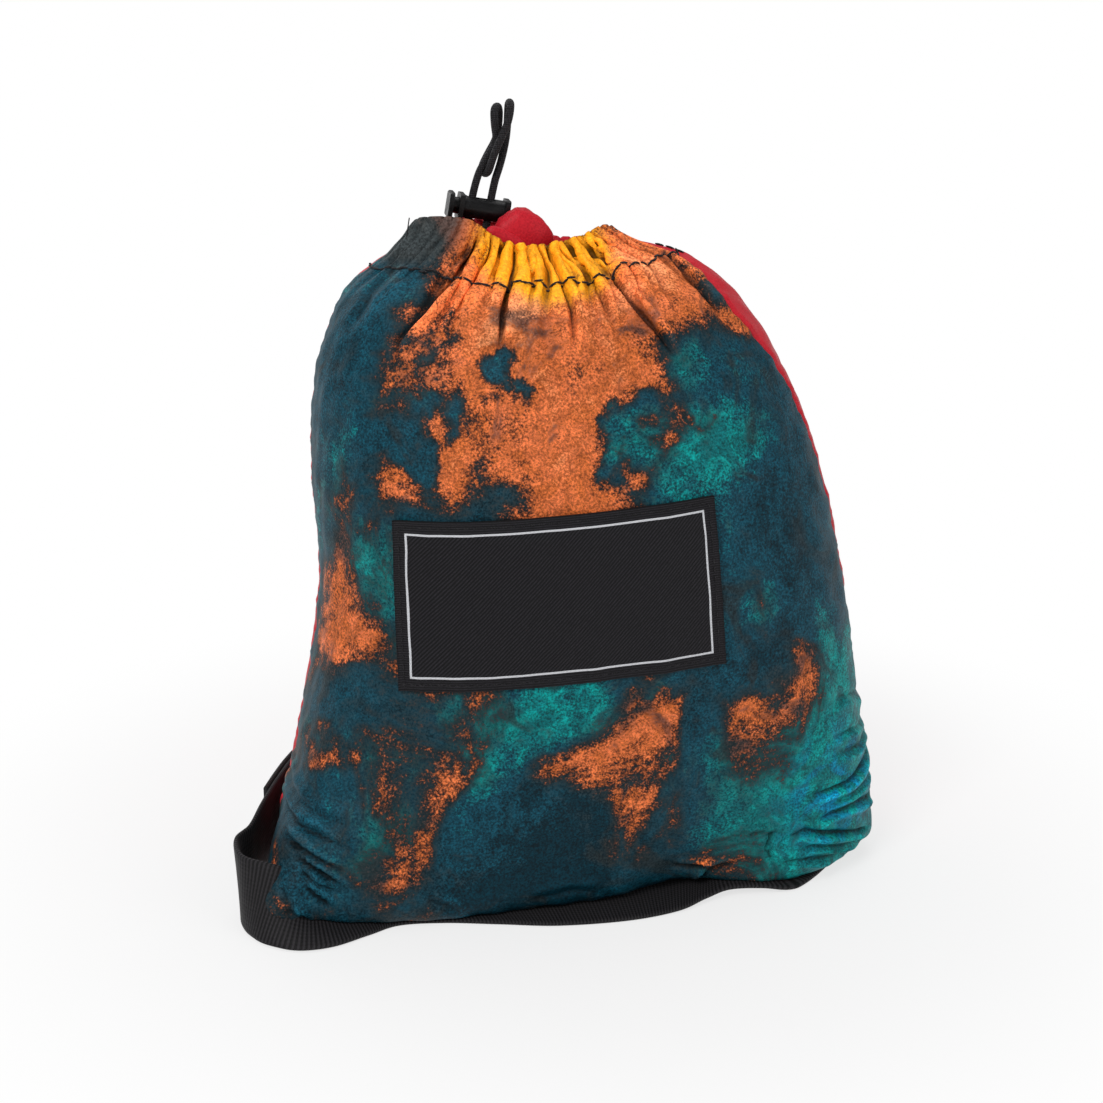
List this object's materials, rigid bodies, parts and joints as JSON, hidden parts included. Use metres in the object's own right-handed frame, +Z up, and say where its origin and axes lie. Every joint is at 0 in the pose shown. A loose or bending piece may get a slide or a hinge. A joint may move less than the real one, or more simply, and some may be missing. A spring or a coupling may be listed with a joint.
{
  "type": "packed camping hammock",
  "caption": "Two-person camping hammock folded into its attached drawstring sack, with cord lock, carrying strap, slider, and gathered ends with wire-gate carabiners inside.",
  "frame": {"origin": "on the floor under the middle of the sack's base", "axes": "+Z up through the sack's mouth, -Y towards the printed front panel and its label, +X towards the sack's right side seen from the front"},
  "size_m": [0.1801, 0.1097, 0.205],
  "materials": {
    "printed_taffeta": "semi-gloss mottled print of teal, orange and yellow",
    "red_nylon": "semi-gloss plain weave",
    "slate_nylon": "semi-gloss plain weave",
    "label_weave": "matte twill with a white border line",
    "cord_black": "matte braid",
    "webbing_black": "satin ribbed weave",
    "rope": "matte braid",
    "lock_plastic": "satin moulding",
    "slider_plastic": "satin moulding",
    "aluminium": "anodised satin",
    "wire_steel": "polished wire",
    "spring_steel": "drawn wire"
  },
  "bodies": {
    "sack": {"sack_front_panel": "printed_taffeta", "sack_back_panel": "red_nylon", "label_patch": "label_weave", "hem_channel": "printed_taffeta", "channel_drawcord": "cord_black", "drawcord_loop": "cord_black", "strap_webbing": "webbing_black", "strap_tail": "webbing_black", "carabiner_frame_a": "aluminium", "carabiner_frame_b": "aluminium", "end_rope_a": "rope", "end_rope_b": "rope", "end_sleeve_a": "red_nylon", "end_sleeve_b": "red_nylon", "hammock_centre_panel": "printed_taffeta", "hammock_side_panel_front": "red_nylon", "hammock_side_panel_back": "red_nylon", "hammock_top_fold": "slate_nylon"},
    "cord_lock": {"cord_lock_body": "lock_plastic", "cord_lock_spring": "spring_steel"},
    "plunger": {"cord_lock_plunger": "lock_plastic"},
    "gate_a": {"carabiner_gate_a": "wire_steel"},
    "gate_b": {"carabiner_gate_b": "wire_steel"},
    "slider": {"strap_slider": "slider_plastic"}
  },
  "joints": [
    {"name": "cord_lock_slide", "type": "slide", "parent": "sack", "child": "cord_lock", "axis": [0.1736, 0, 0.9848], "range_m": [0, 0.004]},
    {"name": "plunger_press", "type": "slide", "parent": "cord_lock", "child": "plunger", "axis": [0.9848, 0, -0.1736], "range_m": [0, 0.0015], "stiffness_N_per_m": 400, "springref_m": -0.001, "deforming": ["cord_lock_spring"]},
    {"name": "gate_a_hinge", "type": "hinge", "parent": "sack", "child": "gate_a", "pos_m": [-0.046, 0, 0.082], "axis": [0, 1, 0], "range_deg": [0, 25], "stiffness_Nm_per_rad": 0.2, "springref_deg": -5.73},
    {"name": "gate_b_hinge", "type": "hinge", "parent": "sack", "child": "gate_b", "pos_m": [0.05, 0, 0.082], "axis": [0, -1, 0], "range_deg": [0, 25], "stiffness_Nm_per_rad": 0.2, "springref_deg": -5.73},
    {"name": "strap_slider_slide", "type": "slide", "parent": "sack", "child": "slider", "axis": [1, 0, 0], "range_m": [-0.02, 0.02]}
  ]
}
